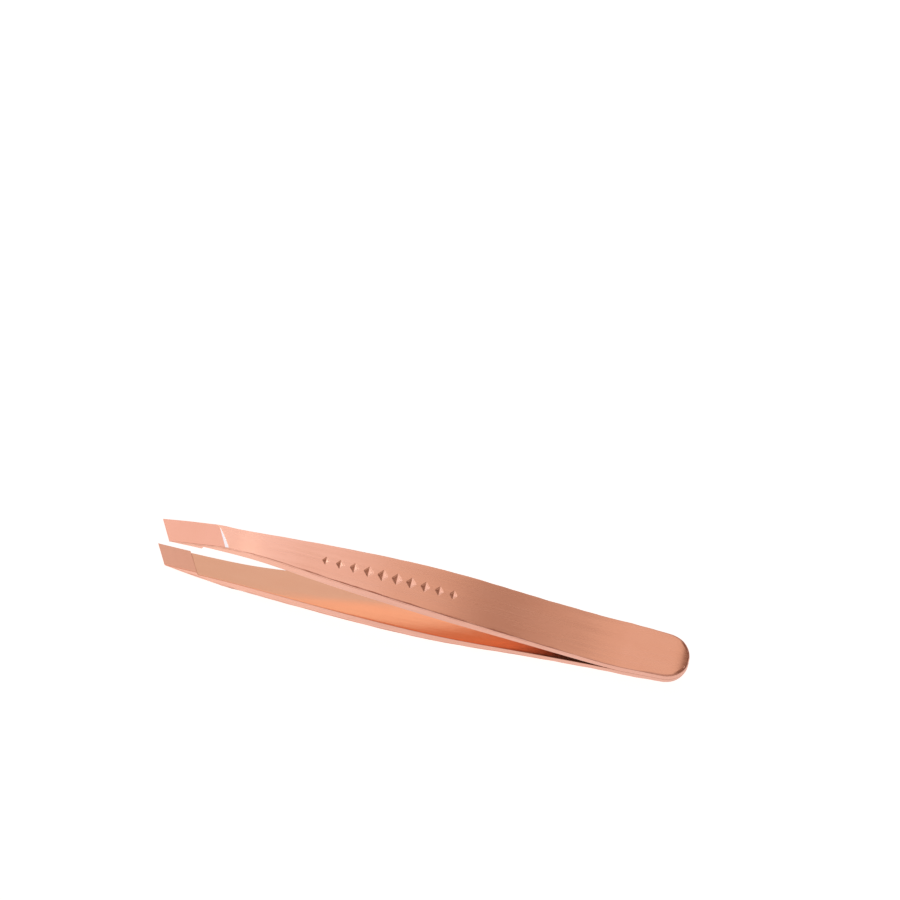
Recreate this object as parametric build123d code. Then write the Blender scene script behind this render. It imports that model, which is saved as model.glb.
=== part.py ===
from build123d import *
import os
from math import asin, degrees, hypot, radians, tan

# Slant tweezers: two sprung steel arms, one above the other, spot welded together at the heel.
# Row frame: +X runs from the tips to the heel, Y across the width, +Z up through the two arms.
# Both arms are drawn about the mid plane between them, and the lower arm mirrors the upper one.
# "Station" is the distance from the longest point of the tips towards the heel.

# ---- Driving dimensions (millimetres and degrees) ----
LENGTH = 95.0             # tips to heel end
SLANT_ANGLE = 25.0        # slope of the tip edge across the width, away from square
JAW_WIDTH = 4.3           # width at the tips
HEEL_WIDTH = 9.84         # width where the weld begins, the widest point
HEEL_END_WIDTH = 8.85     # width that the heel tapers to at its end
HEEL_CORNER = 4.0         # radius of the heel's corners, seen from above

TIP_OPENING = 7.44        # free gap between the two tip edges
JAW_THICKNESS = 1.6       # one arm just behind its ground facet
ARM_BOW = 0.09            # how far an arm bows out beyond the outer face of its jaw
ARM_THICKNESS = 1.95      # one arm along its broad middle
HEEL_THICKNESS = 1.10     # one leaf at the weld

WELD_LENGTH = 11.0        # stretch of the heel where the two leaves touch
FLEX_TO_WELD = 9.0        # from the weld's edge to the line that an arm bends about

TIP_EDGE = 0.12           # metal left at the ground tip edge
FACET_LENGTH = 9.8        # outer facet, along X from the tip edge
FACET_BELLY = 0.10        # rise of the facet's middle above a straight line
FACET_RUNOUT = 4.0        # radius that runs the facet out into the outer face
PAD_LENGTH = 5.8          # gripping pad, along X from the tip edge
PAD_RISE = 0.10           # how far the pad leans outward over its length
PAD_RELIEF = 0.49         # how far the inner face behind the pad is relieved
PAD_STEP = 0.3            # length of the ramp from the pad out to the relieved face

NUGGET_RADIUS = 1.4       # spot weld nuggets
NUGGET_DEPTH = 0.4        # how far a nugget reaches into each leaf
NUGGET_PITCH = 4.5
NUGGET_COUNT = 2

LOZENGE_COUNT = 10        # ornament pressed into the upper arm
LOZENGE_PITCH = 2.55
LOZENGE_START = 29.4      # station of the first lozenge
LOZENGE_LENGTH = 1.9
LOZENGE_HEIGHT = 2.4      # across the arm, in the middle of the row
LOZENGE_SHRINK = 0.3      # how much smaller the end lozenges are
LOZENGE_DEPTH = 0.16

HINGE_RADIUS = 2.0        # round end of the flexing arm, about its bending line
HINGE_CLEARANCE = 0.02    # running gap round that end
CLOSED_GAP = 0.02         # gap between the tip edges when both arms are pressed home
OVERSHOOT = 3.0           # how far a cutting shape runs past the metal

# Sections of one arm between the jaw and the weld. Each row holds the share of the free length,
# then the shares of the greatest height, of ARM_THICKNESS and of the widening from jaw to heel.
MIDDLE_SECTIONS = [
    (0.2148, 1.00, 0.90, 0.1065),
    (0.3221, 0.95, 0.98, 0.394),
    (0.4783, 0.845, 1.00, 0.740),
    (0.6345, 0.675, 0.87, 0.940),
    (0.7810, 0.438, 0.68, 0.9585),
]
JAW_SHARE = 0.1562        # share of the free length where the jaw ends
FLEX_SECTION = (0.275, 0.590, 0.9816)  # the last three shares, at the bending line

# ---- Worked out from them ----
SLANT = tan(radians(SLANT_ANGLE))
WELD_STATION = LENGTH - WELD_LENGTH
HINGE_STATION = WELD_STATION - FLEX_TO_WELD
JAW_STATION = JAW_SHARE * WELD_STATION
WIDENING = (HEEL_WIDTH - JAW_WIDTH) / 2
TIP_INNER = TIP_OPENING / 2
PAD_END = TIP_INNER + PAD_RISE
JAW_INNER = PAD_END + PAD_RELIEF
JAW_OUTER = JAW_INNER + JAW_THICKNESS
ARM_TOP = JAW_OUTER + ARM_BOW

# Each row: station, height of the outer face, thickness, half width.
SECTIONS = [
    (share * WELD_STATION, high * ARM_TOP, metal * ARM_THICKNESS, JAW_WIDTH / 2 + wide * WIDENING)
    for share, high, metal, wide in MIDDLE_SECTIONS + [(HINGE_STATION / WELD_STATION, *FLEX_SECTION)]
]
HINGE_HEIGHT = SECTIONS[-1][1] - SECTIONS[-1][2] / 2

# An arm turns about its bending line until its tip edge is half the closed gap from the mid plane.
TIP_REACH = hypot(HINGE_STATION, TIP_INNER - HINGE_HEIGHT)
OPEN_SLOPE = degrees(asin((TIP_INNER - HINGE_HEIGHT) / TIP_REACH))
SHUT_SLOPE = degrees(asin((CLOSED_GAP / 2 - HINGE_HEIGHT) / TIP_REACH))
CLOSING_ANGLE = OPEN_SLOPE - SHUT_SLOPE

# The facet, pad and tip edge all run across the jaw along this line. It drops a little towards the
# short side, so that both ends of the edge reach the mid plane together when the arm closes.
EDGE_LINE = (SLANT, -1, -SLANT * tan(radians(CLOSING_ANGLE)))


def swept_across(outline, direction=(0, 1, 0)):
    """Sweep an XZ outline right across the width, along a direction."""
    reach = (HEEL_WIDTH / 2 + OVERSHOOT) * Vector(*direction).length
    return extrude(make_face(outline), amount=reach, dir=direction, both=True)


def on_far_side(station, height):
    """A point of an XZ outline drawn on the long side of the jaw."""
    return (station, JAW_WIDTH / 2, height)


def arm_profile():
    """Side view of the upper arm: a level jaw, a bowed middle and a flat heel leaf."""
    outer = [(JAW_STATION, 0, JAW_OUTER)]
    outer += [(station, 0, height) for station, height, _, _ in SECTIONS]
    outer += [(WELD_STATION, 0, HEEL_THICKNESS)]
    inner = [(JAW_STATION, 0, JAW_INNER)]
    inner += [(station, 0, height - metal) for station, height, metal, _ in SECTIONS]
    inner += [(WELD_STATION, 0, 0)]
    level = [(1, 0, 0), (1, 0, 0)]
    ahead = -OVERSHOOT
    behind = LENGTH + OVERSHOOT
    return Curve() + [
        Line((ahead, 0, JAW_OUTER), outer[0]),
        Spline(outer, tangents=level),
        Polyline(outer[-1], (behind, 0, HEEL_THICKNESS), (behind, 0, 0), inner[-1]),
        Spline(inner, tangents=level),
        Polyline(inner[0], (ahead, 0, JAW_INNER), (ahead, 0, JAW_OUTER)),
    ]


def arm_plan():
    """View from above: slanted tips, widening sides and a tapered heel with round corners."""
    tip = JAW_WIDTH / 2
    heel = HEEL_WIDTH / 2
    end = HEEL_END_WIDTH / 2
    back = JAW_WIDTH * SLANT
    side = [(JAW_STATION / 2, tip)]
    side += [(station, half) for station, _, _, half in SECTIONS]
    side += [(WELD_STATION, heel)]
    far = Spline(side, tangents=[(1, 0), (1, 0)])
    near = mirror(far, about=Plane.XZ)
    corner = min(HEEL_CORNER, 0.9 * end)
    cap = FilletPolyline(side[-1], (LENGTH, end), (LENGTH, -end), (WELD_STATION, -heel), radius=corner)
    tips = Polyline(side[0], (0, tip), (back, -tip), (side[0][0], -tip))
    return make_face(Curve() + [far, cap, near, tips])


def gripping_pad():
    """The raised pad inside the tip, with a ramp up to the relieved inner face."""
    slope = PAD_RISE / PAD_LENGTH
    ramp = PAD_RELIEF / PAD_STEP
    sunk = JAW_THICKNESS / 2
    points = [
        on_far_side(-OVERSHOOT, TIP_INNER - OVERSHOOT * slope),
        on_far_side(PAD_LENGTH, PAD_END),
        on_far_side(PAD_LENGTH + PAD_STEP + sunk / ramp, JAW_INNER + sunk),
        on_far_side(-OVERSHOOT, JAW_INNER + sunk),
    ]
    return swept_across(Polyline(points, close=True), EDGE_LINE)


def facet_cutter():
    """What is ground off the outside of the tip, down to a fine edge."""
    start = Vector(on_far_side(0, TIP_INNER + TIP_EDGE))
    end = Vector(on_far_side(FACET_LENGTH, JAW_OUTER))
    belly = (start + end) * 0.5 + Vector(0, 0, FACET_BELLY)
    facet = ThreePointArc(start, belly, end)
    run_out = facet % 1
    centre = end + Vector(-run_out.Z, 0, run_out.X) * FACET_RUNOUT
    top = centre + Vector(FACET_RUNOUT, 0, 0)
    middle = centre + (end - centre + top - centre).normalized() * FACET_RUNOUT
    ahead = start - (facet % 0) * OVERSHOOT
    above = JAW_OUTER + FACET_RUNOUT + OVERSHOOT
    outline = Curve() + [
        Line(ahead, start),
        facet,
        ThreePointArc(end, middle, top),
        Polyline(top, on_far_side(top.X, above), on_far_side(ahead.X, above), ahead),
    ]
    return swept_across(outline, EDGE_LINE)


def plain_arm():
    """The upper arm in one piece, before the ornament and the weld pockets."""
    plan = extrude(arm_plan(), amount=ARM_TOP + OVERSHOOT)
    bar = swept_across(arm_profile()) + gripping_pad()
    return (bar & plan) - facet_cutter()


def lozenge_row():
    """Upright prisms of the ornament, largest in the middle of the row."""
    middle = (LOZENGE_COUNT - 1) / 2
    prisms = []
    for index in range(LOZENGE_COUNT):
        size = 1 - LOZENGE_SHRINK * abs(index - middle) / middle
        across = LOZENGE_HEIGHT / 2 * size
        along = LOZENGE_LENGTH / 2 * size
        station = LOZENGE_START + index * LOZENGE_PITCH
        corners = [(station - along, 0), (station, across), (station + along, 0), (station, -across)]
        prisms.append(extrude(make_face(Polyline(corners, close=True)), amount=ARM_TOP + OVERSHOOT))
    return prisms


def press_ornament(arm):
    """Sink each lozenge to one depth below the bowed outer face."""
    skin = arm - Pos(0, 0, -LOZENGE_DEPTH) * arm
    for prism in lozenge_row():
        arm -= skin & prism
    return arm


def weld_nuggets():
    """Nuggets of fused metal across the joint between the two leaves."""
    middle = WELD_STATION + WELD_LENGTH / 2 - (NUGGET_COUNT - 1) * NUGGET_PITCH / 2
    return [
        Pos(middle + index * NUGGET_PITCH, 0, 0) * Cylinder(NUGGET_RADIUS, 2 * NUGGET_DEPTH)
        for index in range(NUGGET_COUNT)
    ]


def ahead_of_hinge(radius):
    """Everything on the tip side of the bending line, with a round end of this radius."""
    reach = HINGE_STATION + OVERSHOOT
    tall = 2 * (ARM_TOP + OVERSHOOT)
    wide = HEEL_WIDTH + 2 * OVERSHOOT
    block = Pos(HINGE_STATION - reach / 2, 0, 0) * Box(reach, wide, tall)
    end = Pos(HINGE_STATION, 0, HINGE_HEIGHT) * Rot(90, 0, 0) * Cylinder(radius, wide)
    return block + end


def split_at_hinge(arm):
    """Part an arm into the stretch that swings and the leaf that stays with the weld."""
    swinging = arm & ahead_of_hinge(HINGE_RADIUS)
    leaf = arm - ahead_of_hinge(HINGE_RADIUS + HINGE_CLEARANCE)
    for nugget in weld_nuggets():
        leaf -= nugget
    return swinging, leaf


def to_row_frame(shape):
    """Move a shape so the row's origin is under the middle of the tweezers."""
    return Pos(-LENGTH / 2, 0, REST_HEIGHT) * shape


plain = plain_arm()
REST_HEIGHT = plain.bounding_box().max.Z
upper_swinging, upper_leaf = split_at_hinge(press_ornament(plain))
lower_swinging, lower_leaf = [mirror(piece, about=Plane.XY) for piece in split_at_hinge(plain)]

nodes = {
    "upper_arm": upper_swinging,
    "lower_arm": lower_swinging,
    "upper_heel_leaf": upper_leaf,
    "lower_heel_leaf": lower_leaf,
    "spot_welds": Compound(children=[nugget.solid() for nugget in weld_nuggets()]),
}

os.makedirs("parts", exist_ok=True)
for name, shape in nodes.items():
    export_step(to_row_frame(shape), f"parts/{name}.step")

print("closing angle", round(CLOSING_ANGLE, 4), "degrees")
print("mid plane height", round(REST_HEIGHT, 4))
print("bending lines at x", round(HINGE_STATION - LENGTH / 2, 4))
print("and at z", round(REST_HEIGHT + HINGE_HEIGHT, 4), "and", round(REST_HEIGHT - HINGE_HEIGHT, 4))
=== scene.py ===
import math

import bpy
import numpy as np
from mathutils import Matrix, Vector


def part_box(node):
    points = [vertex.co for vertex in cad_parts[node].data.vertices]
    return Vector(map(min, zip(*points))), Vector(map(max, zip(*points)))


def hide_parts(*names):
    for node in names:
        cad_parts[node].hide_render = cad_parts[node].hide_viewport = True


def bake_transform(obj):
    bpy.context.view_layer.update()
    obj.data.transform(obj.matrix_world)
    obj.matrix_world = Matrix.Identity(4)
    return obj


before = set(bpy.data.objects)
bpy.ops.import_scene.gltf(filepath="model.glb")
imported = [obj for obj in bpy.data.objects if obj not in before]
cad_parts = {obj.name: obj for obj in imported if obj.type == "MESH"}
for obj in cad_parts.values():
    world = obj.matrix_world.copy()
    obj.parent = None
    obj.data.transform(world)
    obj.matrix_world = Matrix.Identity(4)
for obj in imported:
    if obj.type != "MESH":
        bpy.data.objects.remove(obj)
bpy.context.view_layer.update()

# Slant tweezers: two bowed spring arms in satin rose gold, welded together at the heel.
# Shapes are worked out in millimetres, then placed in the frame. "Station" is the distance from
# the longest point of the tips towards the heel, and height is measured from the mid plane.

MM = 0.001

# ---- Places that the frame gives ----
TIP_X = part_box("upper_arm")[0][0]
HEEL_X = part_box("upper_heel_leaf")[1][0]
MID_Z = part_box("upper_heel_leaf")[0][2]
LENGTH = (HEEL_X - TIP_X) / MM

# ---- Sizes of one arm in millimetres, the same as the CAD arm's ----
SLANT = math.tan(math.radians(25))
JAW_HALF = 4.3 / 2
HEEL_HALF = 9.84 / 2
HEEL_END_HALF = 8.85 / 2
HEEL_CORNER = 4.0
WELD_STATION = LENGTH - 11
FLEX_TO_WELD = 9.0
JAW_STATION = 0.1562 * WELD_STATION
TIP_INNER = 3.72
JAW_INNER = 4.31
JAW_OUTER = 5.91
ARM_TOP = 6.0
ARM_THICKNESS = 1.95
HEEL_THICKNESS = 1.10
TIP_EDGE = 0.12
FACET_LENGTH = 9.8
FACET_BELLY = 0.10
FACET_RUNOUT = 4.0        # radius that runs the facet out into the outer face
PAD_LENGTH = 5.8
PAD_RISE = 0.10
CLOSING = math.tan(math.radians(2.83))

# Share of the free length, then shares of the height, the thickness and the widening.
SECTIONS = [
    (0.2148, 1.00, 0.90, 0.1065),
    (0.3221, 0.95, 0.98, 0.394),
    (0.4783, 0.845, 1.00, 0.740),
    (0.6345, 0.675, 0.87, 0.940),
    (0.7810, 0.438, 0.68, 0.9585),
    (1 - FLEX_TO_WELD / WELD_STATION, 0.275, 0.590, 0.9816),
]

# ---- Finish of the arms, where this mesh differs a little from the CAD arm ----
PAD_STEP = 0.24           # length of the pad's ramp, shorter than the CAD's
FACET_TWIST = 0.08        # the facet is ground this much deeper at the near end of its back edge
OUTER_ROUND = 0.27        # radius of the deburred outer edge, at the near side
FAR_ROUND = 0.10          # the same at the far side, and twice what it is at the tips
WELD_ROUND = 0.16         # the same on both sides near the weld
HEEL_ROUND = 0.42         # the same round the heel's end
INNER_ROUND = 0.08
POLISH = 0.004            # brushing takes this much off the outer face
FACE_CROWN = 0.03         # the outer face falls this much from its middle to its edges
EDGE_WANDER = 0.07        # how much the radius of the outer edge wanders along the arm
EDGE_LEDGE = 0.045        # depth of the ledge that blanking leaves in the upper part of the side
HEEL_ROLL = 2.8           # the outer face rolls off over this length at the heel's end
HEEL_DROP = 0.26

# ---- Pressed ornament: a row of lozenges on the upper arm ----
LOZENGE_COUNT = 10
LOZENGE_PITCH = 2.55
LOZENGE_START = 29.4
LOZENGE_LENGTH = 1.9
LOZENGE_HEIGHT = 2.4
LOZENGE_SHRINK = 0.3
LOZENGE_DEPTH = 0.16
LOZENGE_WALL = 0.12       # width of the steep wall round each lozenge
LOZENGE_WALL_SHARE = 0.42  # share of the depth that the wall takes, the rest being a pyramid

# ---- Mesh: stretches along the arm, and how closely rows and columns follow each other ----
SQUARING = (16.0, 34.0)   # rows turn from the slant to square between these
CALMING = (2.0, 12.0)     # the edge's wander and ledge grow in between these
TIPS_TO_ARM = (11, 30)    # the outer edge's radius changes between these
ARM_TO_WELD = (62, 76)
WELD_TO_END = (LENGTH - 9, LENGTH - 2)
RUNOUT_END = FACET_LENGTH + 3
ORNAMENT_FROM = LOZENGE_START - LOZENGE_LENGTH
ORNAMENT_TO = LOZENGE_START + (LOZENGE_COUNT - 1) * LOZENGE_PITCH + LOZENGE_LENGTH
TIP_STEP = 0.25
BEND_STEP = 0.05          # where the pad and the facet end
PLAIN_STEP = 0.5
ORNAMENT_STEP = 0.062
CORNER_TURNS = 28
PLAIN_COLUMNS = 24
ORNAMENT_COLUMNS = 46
ORNAMENT_SHARE = 0.62     # share of the width that the ornament's columns take
RIM_COLUMNS = 5
OUTER_TURNS = 6
INNER_TURNS = 4
# Down the side: share of the wall's height, then share of the ledge that is left there.
WALL_PROFILE = [(0.14, 1.0), (0.24, 0.0), (0.55, 0.0), (0.80, 0.0)]
SIDE_POINTS = OUTER_TURNS + 1 + len(WALL_PROFILE) + INNER_TURNS + 1
GROUND_AWAY = 0.0005      # the least that counts as ground off the outer face
SHARP_ANGLE = math.radians(38)

# Order of the material slots.
FACE, EDGE, FACET, RUNOUT, PAD, INSIDE = range(6)

# The UV map is in millimetres, and each kind of surface starts at its own V.
EDGE_CHART = 20.0
INSIDE_CHART = 40.0
END_CHART = 80.0

# ---- Finishes ----
CROSS_GRAIN = math.radians(68)
GRAIN_RELIEF = 0.000012
WELD_RELIEF = 0.00002
# Broken dark lines down the sides are painted shade of the round and the ledges that blanking
# leaves.
LINE_SHADE_COLOUR = (0.42, 0.14, 0.08)
SHADE_LINES = ((0.05, 0.05), (0.34, 0.06))  # depth down the side, then half the width
SHADE_FADE_STATIONS = (WELD_STATION - 20, WELD_STATION - 8)
EDGE_SHADE = (18, 42)     # the sides are painted darker, as painted shade, between these stations
SIDE_PAINTED_SHADE = (0.87, 0.86, 0.88)
INSIDE_SHADE = (61, 67)   # and the inside is painted darker deep in the crotch, as painted shade, between these
CROTCH_PAINTED_SHADE = (0.93, 0.95, 1.0)

# ---- Surround and lights: linear colours, and sizes in metres ----
FLOOR_GLOW = 0.86
ROOM = (0.77, 0.60, 0.52)
ROOM_LOW = (0.52, 0.385, 0.325)
ROOM_RIGHT = (0.23, 0.13, 0.10)
ROOM_FRONT = (0.78, 0.63, 0.55)
BEHIND_CAMERA = (0.45, 0.34, 0.29)
HORIZON = (0.95, 0.93, 0.92)
# Where one colour gives way to the next, along one axis of a direction.
LOW_TO_ROOM = (0.40, 0.62)
BACK_TO_RIGHT = (0.17, 0.22)
BEHIND_TO_FRONT = (0.60, 0.80)
FRONT_TO_SIDES = (-0.1, 0.4)
HORIZON_TO_ROOM = (0.05, 0.25)
KEY = {
    "place": (-0.215, 0.23, 0.328),
    "facing": (0, -0.573, -0.819),
    "width": 0.46,
    "height": 0.40,
    "radiance": (0.21, 0.30, 0.43),
}
TIP_STRIP = {
    "place": (-0.094, 0.229, 0.325),
    "facing": (0.14, -0.575, -0.806),
    "width": 0.03,
    "height": 0.16,
    "radiance": (1.3, 1.6, 1.5),
}
LEFT_STRIP = {
    "place": (-0.49, 0.15, 0.31),
    "facing": (0.82, -0.25, -0.52),
    "width": 0.09,
    "height": 0.26,
    "radiance": (2.7, 2.9, 3.0),
}

# ---- Camera ----
ELEVATION = math.radians(55.03)
ROLL = math.radians(12.98)
FOCAL = 480.0
SENSOR = 36.0
VIEW_WIDTH = 0.15706      # what the frame spans at the tweezers
LEFT_OF_CENTRE = 0.0296   # where the tweezers lie, as shares of the frame's width
BELOW_CENTRE = 0.1689


def clamped_spline(points):
    """A smooth curve through the points, level at both ends, as a function."""
    x, y = np.array(points, float).T
    gap = np.diff(x)
    rise = np.diff(y) / gap
    size = len(x)
    matrix = np.eye(size)
    wanted = np.zeros(size)
    for i in range(1, size - 1):
        matrix[i, i - 1:i + 2] = gap[i], 2 * (gap[i - 1] + gap[i]), gap[i - 1]
        wanted[i] = 3 * (gap[i] * rise[i - 1] + gap[i - 1] * rise[i])
    slope = np.linalg.solve(matrix, wanted)

    def curve(at):
        at = min(max(at, x[0]), x[-1])
        i = min(int(np.searchsorted(x, at, side="right")) - 1, size - 2)
        t = (at - x[i]) / gap[i]
        start = (1 + 2 * t) * (1 - t) ** 2 * y[i] + t * (1 - t) ** 2 * gap[i] * slope[i]
        end = t * t * (3 - 2 * t) * y[i + 1] - t * t * (1 - t) * gap[i] * slope[i + 1]
        return float(start + end)

    return curve


def smooth_step(low, high, value):
    """0 below low, 1 above high, with a smooth ramp between them."""
    t = min(max((value - low) / (high - low), 0.0), 1.0)
    return t * t * (3 - 2 * t)


stations = [(JAW_STATION, JAW_OUTER, JAW_INNER)]
stations += [
    (share * WELD_STATION, high * ARM_TOP, high * ARM_TOP - thick * ARM_THICKNESS)
    for share, high, thick, _ in SECTIONS
]
stations += [(WELD_STATION, HEEL_THICKNESS, 0.0)]
outer_curve = clamped_spline([(at, outer) for at, outer, _ in stations])
inner_curve = clamped_spline([(at, inner) for at, _, inner in stations])
halves = [(JAW_STATION / 2, JAW_HALF)]
halves += [
    (share * WELD_STATION, JAW_HALF + wide * (HEEL_HALF - JAW_HALF))
    for share, _, _, wide in SECTIONS
]
halves += [(WELD_STATION, HEEL_HALF)]
half_curve = clamped_spline(halves)


def half_width(station):
    """Half the width of the plan, with the tapered heel and its round corners."""
    if station <= WELD_STATION:
        return half_curve(station)
    share = (station - WELD_STATION) / (LENGTH - WELD_STATION)
    straight = HEEL_HALF + (HEEL_END_HALF - HEEL_HALF) * share
    into = max(station - (LENGTH - HEEL_CORNER), 0.0)
    drop = HEEL_CORNER - math.sqrt(max(HEEL_CORNER ** 2 - into ** 2, 0.0))
    return straight - drop


def plan_normal(station):
    """Outward normal of the far side of the plan, as (along, across)."""
    if station > LENGTH - 0.02:
        return 1.0, 0.0
    step = min(0.01, (LENGTH - station) / 2)
    slope = (half_width(station + step) - half_width(station - step)) / (2 * step)
    size = math.hypot(slope, 1.0)
    return -slope / size, 1.0 / size


def slant_share(row):
    """How much of the slant a row follows: all of it at the tips and none further back."""
    return 1.0 - smooth_step(*SQUARING, row)


def slanted(row, y):
    """Station of a point of a row, y being across the tips."""
    return row + slant_share(row) * SLANT * (JAW_HALF - y)


def outer_face(station, y):
    """Height of the bowed outer face, a little crowned and rolled off at the heel's end."""
    face = outer_curve(station) - POLISH - FACE_CROWN * (y / max(half_width(station), 1.0)) ** 2
    return face - HEEL_DROP * (max(station - (LENGTH - HEEL_ROLL), 0.0) / HEEL_ROLL) ** 2


def outer_height(row, station, y):
    """Height of the outer face, ground away by the facet at the tip."""
    face = outer_face(station, y)
    if row > RUNOUT_END:
        return face
    start = TIP_INNER + TIP_EDGE
    rise = JAW_OUTER - start
    share = row / FACET_LENGTH
    ground = start + rise * share + 4 * FACET_BELLY * share * (1 - share)
    if row > FACET_LENGTH:
        beyond = row - FACET_LENGTH
        slope = (rise - 4 * FACET_BELLY) / FACET_LENGTH
        ground = JAW_OUTER + slope * beyond + beyond ** 2 / (2 * FACET_RUNOUT)
    near = (JAW_HALF - y) / (2 * JAW_HALF)
    return min(face, ground - CLOSING * (station - row) - FACET_TWIST * near * min(share, 1.0))


def inner_height(row, station):
    """Height of the inner face, with the pad and its ramp at the tip."""
    face = inner_curve(station)
    if row > PAD_LENGTH + PAD_STEP:
        return face
    pad = TIP_INNER + PAD_RISE * row / PAD_LENGTH - CLOSING * (station - row)
    if row <= PAD_LENGTH:
        return pad
    return pad + (face - pad) * (row - PAD_LENGTH) / PAD_STEP


def lozenge_sink(station, y):
    """Depth of the pressed ornament at a point of the outer face."""
    middle = (LOZENGE_COUNT - 1) / 2
    index = round((station - LOZENGE_START) / LOZENGE_PITCH)
    if not 0 <= index < LOZENGE_COUNT:
        return 0.0
    size = 1 - LOZENGE_SHRINK * abs(index - middle) / middle
    along = LOZENGE_LENGTH / 2 * size
    across = LOZENGE_HEIGHT / 2 * size
    offset = abs(station - LOZENGE_START - index * LOZENGE_PITCH)
    middle_depth = along * across / math.hypot(along, across)
    inside = (1 - offset / along - abs(y) / across) * middle_depth
    pyramid = min(max(inside / middle_depth, 0.0), 1.0)
    wall = smooth_step(0.0, LOZENGE_WALL, inside)
    return LOZENGE_DEPTH * (LOZENGE_WALL_SHARE * wall + (1 - LOZENGE_WALL_SHARE) * pyramid)


def wander(station, phase):
    """A slow irregular wave between about -1 and 1, as left by blanking and tumbling."""
    fast = math.sin(station * 1.9 + phase * 3.1)
    slow = math.sin(station * 0.71 + phase)
    middling = math.sin(station * 1.13 + phase * 1.7 + slow)
    return 0.45 * slow + 0.35 * middling + 0.2 * fast


def spread(low, high, step):
    """Even values from low up to, but not including, high."""
    count = max(int(round((high - low) / step)), 1)
    return [low + (high - low) * i / count for i in range(count)]


def row_stations(ornament):
    """Where the rows of the mesh cross the arm, close together where the shape changes fast."""
    stretches = [
        (0.25, PAD_LENGTH - 0.25, TIP_STEP),
        (PAD_LENGTH - 0.25, PAD_LENGTH + PAD_STEP + 0.2, BEND_STEP),
        (PAD_LENGTH + PAD_STEP + 0.2, FACET_LENGTH - 0.3, TIP_STEP),
        (FACET_LENGTH - 0.3, FACET_LENGTH + 1.4, BEND_STEP),
        (FACET_LENGTH + 1.4, ORNAMENT_FROM, 0.4),
        (ORNAMENT_FROM, ORNAMENT_TO, ORNAMENT_STEP if ornament else PLAIN_STEP),
        (ORNAMENT_TO, LENGTH - HEEL_CORNER - 1.5, PLAIN_STEP),
        (LENGTH - HEEL_CORNER - 1.5, LENGTH - HEEL_CORNER, 0.25),
    ]
    rows = [0.0, 0.04, 0.12]
    for low, high, step in stretches:
        rows += spread(low, high, step)
    for i in range(CORNER_TURNS):
        rows.append(LENGTH - HEEL_CORNER * (1 - math.sin(math.pi / 2 * i / CORNER_TURNS)))
    return rows + [LENGTH]


def columns(ornament):
    """Where the columns of a face lie, from 1 at the far edge to -1 at the near edge."""
    if not ornament:
        return [1 - 2 * i / PLAIN_COLUMNS for i in range(PLAIN_COLUMNS + 1)]
    middle = ORNAMENT_SHARE
    count = ORNAMENT_COLUMNS
    dense = [middle - 2 * middle * i / count for i in range(count + 1)]
    rim = [1 - (1 - middle) * i / RIM_COLUMNS for i in range(RIM_COLUMNS)]
    return rim + dense + [-value for value in reversed(rim)]


def rounded_side(row, side, round_to):
    """The points of one edge of a row, from the outer face round the wall to the inner face."""
    station = slanted(row, side * JAW_HALF)
    half = half_width(station)
    along, across = plan_normal(station)
    across *= side
    high = outer_height(row, station, side * half)
    low = inner_height(row, station)
    thick = high - low
    calm = smooth_step(*CALMING, row)
    phase = 2.0 + side
    outer_round = min(round_to + EDGE_WANDER * calm * wander(station, phase), 0.45 * thick)
    ledge = EDGE_LEDGE * calm * (0.6 + 0.4 * wander(station, phase + 4.0))
    inner_round = min(INNER_ROUND, 0.3 * thick)
    lean = slant_share(row)

    def point(inset, height):
        shift = lean * SLANT * side * inset
        return station - along * inset + shift, side * half - across * inset, height

    points = []
    for i in range(OUTER_TURNS + 1):
        angle = math.pi / 2 * i / OUTER_TURNS
        inset = outer_round * (1 - math.sin(angle)) + ledge * i / OUTER_TURNS
        points.append(point(inset, high - outer_round * (1 - math.cos(angle))))
    top = high - outer_round
    for drop, share in WALL_PROFILE:
        points.append(point(ledge * share, top - (top - low - inner_round) * drop))
    for i in range(INNER_TURNS + 1):
        angle = math.pi / 2 * i / INNER_TURNS
        inset = inner_round * (1 - math.cos(angle))
        points.append(point(inset, low + inner_round * (1 - math.sin(angle))))
    return points


def edge_round(row, side):
    """Radius of the outer edge: fine at the tips and fullest round the heel's end."""
    tips = FAR_ROUND * 0.5
    middle = OUTER_ROUND if side < 0 else FAR_ROUND
    radius = tips + (middle - tips) * smooth_step(*TIPS_TO_ARM, row)
    radius += (WELD_ROUND - radius) * smooth_step(*ARM_TO_WELD, row)
    return radius + (HEEL_ROUND - radius) * smooth_step(*WELD_TO_END, row)


def arm_loop(row, places, ornament):
    """The points of one row in order: outer face, near side, inner face, far side."""
    far = rounded_side(row, 1, edge_round(row, 1))
    near = rounded_side(row, -1, edge_round(row, -1))
    loop = []
    for place in places[1:-1]:
        share = (1 - place) / 2
        station = far[0][0] + (near[0][0] - far[0][0]) * share
        y = far[0][1] + (near[0][1] - far[0][1]) * share
        height = outer_height(row, station, y)
        if ornament:
            height -= lozenge_sink(station, y)
        loop.append((station, y, height))
    loop = [far[0]] + loop + near
    for place in reversed(places[1:-1]):
        share = (1 - place) / 2
        station = far[-1][0] + (near[-1][0] - far[-1][0]) * share
        y = far[-1][1] + (near[-1][1] - far[-1][1]) * share
        loop.append((station, y, inner_height(row, station)))
    return loop + list(reversed(far))[:-1]


def is_ground(station, y, height):
    """Whether the facet's run-out has lowered a point of the outer face."""
    return abs(height - outer_face(station, y)) > GROUND_AWAY


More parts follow.
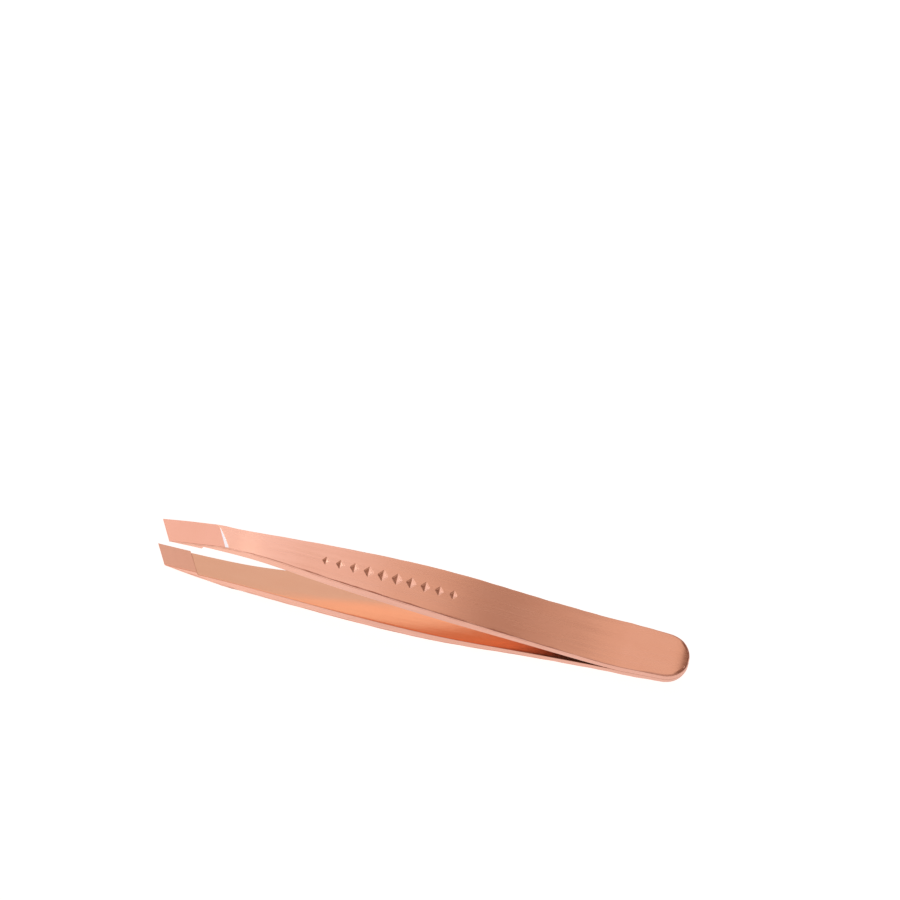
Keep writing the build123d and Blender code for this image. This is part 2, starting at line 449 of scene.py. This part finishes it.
def build_arm(name, up, ornament):
    """One whole arm as a closed mesh, with a UV map in millimetres that runs along the metal."""
    places = columns(ornament)
    rows = row_stations(ornament)
    loops = [arm_loop(row, places, ornament) for row in rows]
    size = len(loops[0])
    across = len(places) - 1
    near_end = across + SIDE_POINTS - 1
    inner_end = near_end + across
    vertices = []
    for loop in loops:
        for station, y, height in loop:
            vertices.append((TIP_X + station * MM, y * MM, MID_Z + up * height * MM))

    faces = []
    marks = []
    charts = []
    for i in range(len(rows) - 1):
        middle = (rows[i] + rows[i + 1]) / 2
        for j in range(size):
            k = (j + 1) % size
            faces.append((i * size + j, i * size + k, (i + 1) * size + k, (i + 1) * size + j))
            flat = True
            if j < across:
                offset = 0.0
                finish = FACE
                if middle < FACET_LENGTH:
                    finish = FACET
                elif middle < RUNOUT_END and is_ground(*loops[i][j]) and is_ground(*loops[i][k]):
                    finish = RUNOUT
            elif near_end <= j < inner_end:
                offset = INSIDE_CHART
                finish = PAD if middle < PAD_LENGTH + PAD_STEP else INSIDE
            else:
                flat = False
                offset = EDGE_CHART
                finish = EDGE
            marks.append(finish)
            crest = across if j < near_end else 0
            corners = []
            for row, column in ((i, j), (i, k), (i + 1, k), (i + 1, j)):
                station, y, height = loops[row][column]
                corners.append((station, offset + (y if flat else loops[row][crest][2] - height)))
            charts.append(corners)

    # The slanted edge at the tip is one thin face.
    faces.append(tuple(reversed(range(size))))
    marks.append(EDGE)
    charts.append([(loops[0][j][1], END_CHART + loops[0][j][2]) for j in reversed(range(size))])

    # The heel's end joins the far side to the near side, level by level.
    last = (len(rows) - 1) * size
    near_side = [last + across + i for i in range(SIDE_POINTS)]
    far_side = [last] + [last + size - i for i in range(1, SIDE_POINTS)]
    outer_line = [last + j for j in range(across + 1)]
    inner_line = [last + j for j in range(near_end, inner_end + 1)]
    faces.append(tuple(outer_line) + (near_side[1], far_side[1]))
    for i in range(1, SIDE_POINTS - 2):
        faces.append((far_side[i], near_side[i], near_side[i + 1], far_side[i + 1]))
    faces.append((far_side[-2], near_side[-2]) + tuple(inner_line))
    for face in faces[len(charts):]:
        marks.append(EDGE)
        ends = [loops[-1][v - last] for v in face]
        charts.append([(y, END_CHART + height) for _, y, height in ends])

    if up > 0:
        faces = [tuple(reversed(face)) for face in faces]
        charts = [list(reversed(chart)) for chart in charts]
    mesh = bpy.data.meshes.new(name)
    mesh.from_pydata(vertices, [], faces)
    grain = mesh.uv_layers.new(name="grain")
    corners = np.array([uv for chart in charts for uv in chart], np.float32)
    grain.data.foreach_set("uv", corners.ravel())
    mesh.polygons.foreach_set("material_index", np.array(marks, np.int32))
    mesh.shade_smooth()
    mesh.set_sharp_from_angle(angle=SHARP_ANGLE)
    mesh.update()
    arm = bpy.data.objects.new(name, mesh)
    bpy.context.scene.collection.objects.link(arm)
    return arm


def node(tree, kind, **values):
    """A shader node with its settings and inputs given by name."""
    made = tree.nodes.new(kind)
    for key, value in values.items():
        if hasattr(made, key):
            setattr(made, key, value)
        else:
            made.inputs[key.replace("_", " ")].default_value = value
    return made


def grain_chart(tree):
    """The UV map in millimetres: U along the arm and V across the surface."""
    return node(tree, "ShaderNodeUVMap", uv_map="grain").outputs["UV"]


def axes_of(tree, vector):
    """The separate axes of a vector."""
    axes = node(tree, "ShaderNodeSeparateXYZ")
    tree.links.new(vector, axes.inputs["Vector"])
    return axes.outputs


def streaks(tree, chart, stretch, fine):
    """Grain noise drawn out along the metal: long in U and fine in V."""
    scale = node(tree, "ShaderNodeMapping")
    scale.inputs["Scale"].default_value = (stretch, fine, 1.0)
    noise = node(tree, "ShaderNodeTexNoise", Scale=1.0, Detail=3.0, Roughness=0.6)
    tree.links.new(chart, scale.inputs["Vector"])
    tree.links.new(scale.outputs["Vector"], noise.inputs["Vector"])
    return noise.outputs["Fac"]


def ramp(tree, value, low, high, to_low, to_high):
    """Map a value from one range to another."""
    made = node(tree, "ShaderNodeMapRange")
    ends = {"From Min": low, "From Max": high, "To Min": to_low, "To Max": to_high}
    for key, number in ends.items():
        made.inputs[key].default_value = number
    tree.links.new(value, made.inputs["Value"])
    return made.outputs["Result"]


def joined(tree, operation, first, second):
    """Two values joined by a math node."""
    made = node(tree, "ShaderNodeMath", operation=operation)
    tree.links.new(first, made.inputs[0])
    tree.links.new(second, made.inputs[1])
    return made.outputs["Value"]


def mixed_colour(tree, factor, first, second, blend_type="MIX"):
    """A colour between two, or the first multiplied by the second, by a factor."""
    made = node(tree, "ShaderNodeMix", data_type="RGBA", blend_type=blend_type)
    for name, colour in (("A", first), ("B", second)):
        if isinstance(colour, tuple):
            made.inputs[name].default_value = (*colour, 1.0)
        else:
            tree.links.new(colour, made.inputs[name])
    tree.links.new(factor, made.inputs["Factor"])
    return made.outputs["Result"]


def add_relief(tree, surface, height, strength, depth):
    """Give a surface fine relief from a height."""
    relief = node(tree, "ShaderNodeBump", Strength=strength, Distance=depth)
    tree.links.new(height, relief.inputs["Height"])
    tree.links.new(relief.outputs["Normal"], surface.inputs["Normal"])


def metal(name, light, deep, rough, grain, cross=False, bump=0.25, brushed=0.6, uneven=0.04):
    """Coated steel with a directional grain and a slightly cloudy colour."""
    material = bpy.data.materials.new(name)
    material.use_nodes = True
    tree = material.node_tree
    tree.nodes.clear()
    surface = node(tree, "ShaderNodeBsdfPrincipled", Metallic=1.0)
    surface.inputs["Anisotropic"].default_value = brushed
    surface.inputs["Anisotropic Rotation"].default_value = 0.0 if cross else 0.25
    output = node(tree, "ShaderNodeOutputMaterial")
    tree.links.new(surface.outputs["BSDF"], output.inputs["Surface"])
    tangent = node(tree, "ShaderNodeTangent", direction_type="UV_MAP", uv_map="grain")
    tree.links.new(tangent.outputs["Tangent"], surface.inputs["Tangent"])
    chart = grain_chart(tree)
    if cross:
        turned = node(tree, "ShaderNodeMapping")
        turned.inputs["Rotation"].default_value = (0.0, 0.0, CROSS_GRAIN)
        tree.links.new(chart, turned.inputs["Vector"])
        chart = turned.outputs["Vector"]
    fine = streaks(tree, chart, 0.05, grain)
    broad = streaks(tree, chart, 0.03, grain * 0.2)
    cloud = streaks(tree, chart, 0.10, 0.25)

    colour = mixed_colour(tree, ramp(tree, cloud, 0.35, 0.65, 0.0, 1.0), light, deep)
    tree.links.new(colour, surface.inputs["Base Color"])
    small = ramp(tree, fine, 0.3, 0.7, -uneven, uneven)
    large = ramp(tree, broad, 0.3, 0.7, rough - uneven, rough + uneven)
    tree.links.new(joined(tree, "ADD", small, large), surface.inputs["Roughness"])
    add_relief(tree, surface, joined(tree, "ADD", fine, broad), bump, GRAIN_RELIEF)
    return material


def base_colour(material):
    """The colour socket of a finish, and the colour that is linked to it."""
    surface = next(n for n in material.node_tree.nodes if n.type == "BSDF_PRINCIPLED")
    socket = surface.inputs["Base Color"]
    return socket, socket.links[0].from_socket


def draw_shade_lines(material):
    """Fine broken dark lines along the sides: painted shade of the round and the ledges that
    blanking leaves.
    """
    tree = material.node_tree
    socket, colour = base_colour(material)
    chart = grain_chart(tree)
    place = axes_of(tree, chart)
    shake = ramp(tree, streaks(tree, chart, 0.35, 0.0), 0.3, 0.7, -0.04, 0.04)
    depth = joined(tree, "ADD", place["Y"], shake)
    gaps = ramp(tree, streaks(tree, chart, 0.22, 3.0), 0.42, 0.56, 0.0, 0.75)
    broken = joined(tree, "MULTIPLY", gaps, ramp(tree, place["X"], *SHADE_FADE_STATIONS, 1.0, 0.15))
    for line, width in SHADE_LINES:
        inside = node(tree, "ShaderNodeMath", operation="COMPARE")
        inside.inputs[1].default_value = EDGE_CHART + line
        inside.inputs[2].default_value = width
        tree.links.new(depth, inside.inputs[0])
        shown = joined(tree, "MULTIPLY", inside.outputs["Value"], broken)
        colour = mixed_colour(tree, shown, colour, LINE_SHADE_COLOUR)
    tree.links.new(colour, socket)


def shade_along(material, stations, tint):
    """Carry a finish from its own colour to a darker, tinted one between two stations, as painted
    shade.
    """
    tree = material.node_tree
    socket, colour = base_colour(material)
    share = ramp(tree, axes_of(tree, grain_chart(tree))["X"], *stations, 0.0, 1.0)
    tree.links.new(mixed_colour(tree, share, colour, tint, "MULTIPLY"), socket)


def weld_metal():
    """Fused steel between the leaves, hidden in use."""
    material = bpy.data.materials.new("fused_steel")
    material.use_nodes = True
    tree = material.node_tree
    surface = tree.nodes["Principled BSDF"]
    surface.inputs["Metallic"].default_value = 1.0
    place = node(tree, "ShaderNodeTexCoord").outputs["Object"]
    ripple = node(tree, "ShaderNodeTexNoise", Scale=2500.0, Detail=4.0)
    tree.links.new(place, ripple.inputs["Vector"])
    level = ripple.outputs["Fac"]
    colour = mixed_colour(tree, level, (0.42, 0.40, 0.38), (0.62, 0.57, 0.52))
    tree.links.new(colour, surface.inputs["Base Color"])
    tree.links.new(ramp(tree, level, 0.3, 0.7, 0.35, 0.55), surface.inputs["Roughness"])
    add_relief(tree, surface, level, 0.4, WELD_RELIEF)
    return material


def paint_metals():
    """The finishes of an arm, in the order of its material slots."""
    face = metal("rose_gold_satin", (0.98, 0.565, 0.415), (0.96, 0.54, 0.39), 0.24, 5.5, bump=0.3)
    # The sides are the face's coated metal given a darker colour, as painted shade.
    edge = metal("rose_gold_edge", (0.87, 0.49, 0.38), (0.84, 0.46, 0.345), 0.26, 5.0, bump=0.15)
    # The sides' dark lines are painted shade.
    draw_shade_lines(edge)
    # Painted shade: the sides darken towards the heel.
    shade_along(edge, EDGE_SHADE, SIDE_PAINTED_SHADE)
    smooth = {"cross": True, "bump": 0.08, "uneven": 0.015}
    facet = metal("rose_gold_facet", (0.92, 0.49, 0.35), (0.90, 0.475, 0.33), 0.22, 5.0, **smooth)
    # The run-out is a polished band, and its near-white colour is a painted highlight.
    runout = metal("runout_painted_highlight", (0.98, 0.97, 0.94), (0.97, 0.95, 0.92), 0.12, 5.0, **smooth)
    pad = metal("rose_gold_pad", (1.0, 0.63, 0.51), (0.98, 0.61, 0.485), 0.24, 5.0, **smooth)
    plain = {"bump": 0.12, "brushed": 0.1}
    inside = metal("rose_gold_inside", (0.95, 0.63, 0.475), (0.94, 0.605, 0.45), 0.19, 6.0, **plain)
    # Painted shade deep in the crotch between the arms.
    shade_along(inside, INSIDE_SHADE, CROTCH_PAINTED_SHADE)
    return [face, edge, facet, runout, pad, inside]


def add_arms():
    """Both arms, each one closed mesh from the welded heel to the tips, shown in place of the CAD
    arm and its heel leaf.
    """
    finishes = paint_metals()
    arms = {}
    for body, up, ornament in (("upper_arm", 1, True), ("lower_arm", -1, False)):
        arm = build_arm(body + "_strip", up, ornament)
        for finish in finishes:
            arm.data.materials.append(finish)
        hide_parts(body, body.replace("arm", "heel_leaf"))
        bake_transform(arm)
        arms[body] = arm
    return arms


def add_camera():
    """A long lens above the near side, rolled so that the tips sit higher than the heel."""
    right = Vector((1, 0, 0))
    ahead = Vector((0, math.cos(ELEVATION), -math.sin(ELEVATION)))
    up = right.cross(ahead)
    rolled_right = right * math.cos(ROLL) + up * math.sin(ROLL)
    rolled_up = up * math.cos(ROLL) - right * math.sin(ROLL)
    turn = Matrix((rolled_right, rolled_up, -ahead)).transposed()
    spread_out = SENSOR / FOCAL
    aim = Vector((-LEFT_OF_CENTRE * spread_out, -BELOW_CENTRE * spread_out, -1.0))
    off_axis = Vector((0, 0, -1)).rotation_difference(aim).to_matrix()
    distance = VIEW_WIDTH / spread_out * aim.length
    lens = bpy.data.cameras.new("camera")
    lens.lens = FOCAL
    lens.sensor_width = SENSOR
    lens.clip_start = 0.01
    camera = bpy.data.objects.new("camera", lens)
    target = Vector(((TIP_X + HEEL_X) / 2, 0, MID_Z))
    rotation = (turn @ off_axis.inverted()).to_4x4()
    camera.matrix_world = Matrix.Translation(target - ahead * distance) @ rotation
    bpy.context.scene.collection.objects.link(camera)
    bpy.context.scene.camera = camera


def add_floor():
    """A plain pale floor that lifts itself nearly to white."""
    bpy.ops.mesh.primitive_plane_add(size=6.0, location=(0, 0, 0))
    floor = bpy.context.object
    floor.name = "floor"
    material = bpy.data.materials.new("floor")
    material.use_nodes = True
    surface = material.node_tree.nodes["Principled BSDF"]
    surface.inputs["Base Color"].default_value = (0.4, 0.4, 0.4, 1)
    surface.inputs["Roughness"].default_value = 0.9
    surface.inputs["Specular IOR Level"].default_value = 0.1
    surface.inputs["Emission Color"].default_value = (1, 1, 1, 1)
    surface.inputs["Emission Strength"].default_value = FLOOR_GLOW
    floor.data.materials.append(material)


def add_softbox(name, place, facing, width, height, radiance, lights_only=None):
    """A rectangular light, as bright per area and colour channel as radiance says."""
    strongest = max(radiance)
    lamp = bpy.data.lights.new(name, "AREA")
    lamp.shape = "RECTANGLE"
    lamp.size = width
    lamp.size_y = height
    lamp.energy = strongest * math.pi * width * height
    lamp.color = [channel / strongest for channel in radiance]
    light = bpy.data.objects.new(name, lamp)
    light.location = place
    light.rotation_euler = (-Vector(facing)).to_track_quat("Z", "Y").to_euler()
    light.visible_camera = False
    bpy.context.scene.collection.objects.link(light)
    if lights_only:
        group = bpy.data.collections.new(name + "_lights")
        for lit in lights_only:
            group.objects.link(lit)
        light.light_linking.receiver_collection = group


def blended(tree, axis, stretch, first, second):
    """Run from one colour to another as an axis of a direction goes through a stretch."""
    low, high = stretch
    step = node(tree, "ShaderNodeMapRange", interpolation_type="SMOOTHSTEP")
    step.inputs["From Min"].default_value = low
    step.inputs["From Max"].default_value = high
    tree.links.new(axis, step.inputs["Value"])
    return mixed_colour(tree, step.outputs["Result"], first, second)


def light_scene(upper_arm):
    """A warm pale room, darker to the right, low at the back and low behind the camera.

    Two lights over the tips reach the upper arm only, and a strip stands off to the left."""
    world = bpy.data.worlds.new("surround")
    bpy.context.scene.world = world
    world.use_nodes = True
    tree = world.node_tree
    background = tree.nodes["Background"]
    direction = node(tree, "ShaderNodeTexCoord").outputs["Generated"]
    axes = axes_of(tree, direction)
    along, across, height = (axes[name] for name in "XYZ")
    back = blended(tree, height, LOW_TO_ROOM, ROOM_LOW, ROOM)
    sides = blended(tree, along, BACK_TO_RIGHT, back, ROOM_RIGHT)
    front = blended(tree, height, BEHIND_TO_FRONT, BEHIND_CAMERA, ROOM_FRONT)
    around = blended(tree, across, FRONT_TO_SIDES, front, sides)
    colour = blended(tree, height, HORIZON_TO_ROOM, HORIZON, around)
    tree.links.new(colour, background.inputs["Color"])
    add_softbox("key", **KEY, lights_only=[upper_arm])
    add_softbox("tip_strip", **TIP_STRIP, lights_only=[upper_arm])
    add_softbox("left_strip", **LEFT_STRIP)


add_camera()
add_floor()
arms = add_arms()
light_scene(arms["upper_arm"])
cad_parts["spot_welds"].data.materials.clear()
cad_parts["spot_welds"].data.materials.append(weld_metal())

bpy.context.scene.view_settings.view_transform = "Standard"
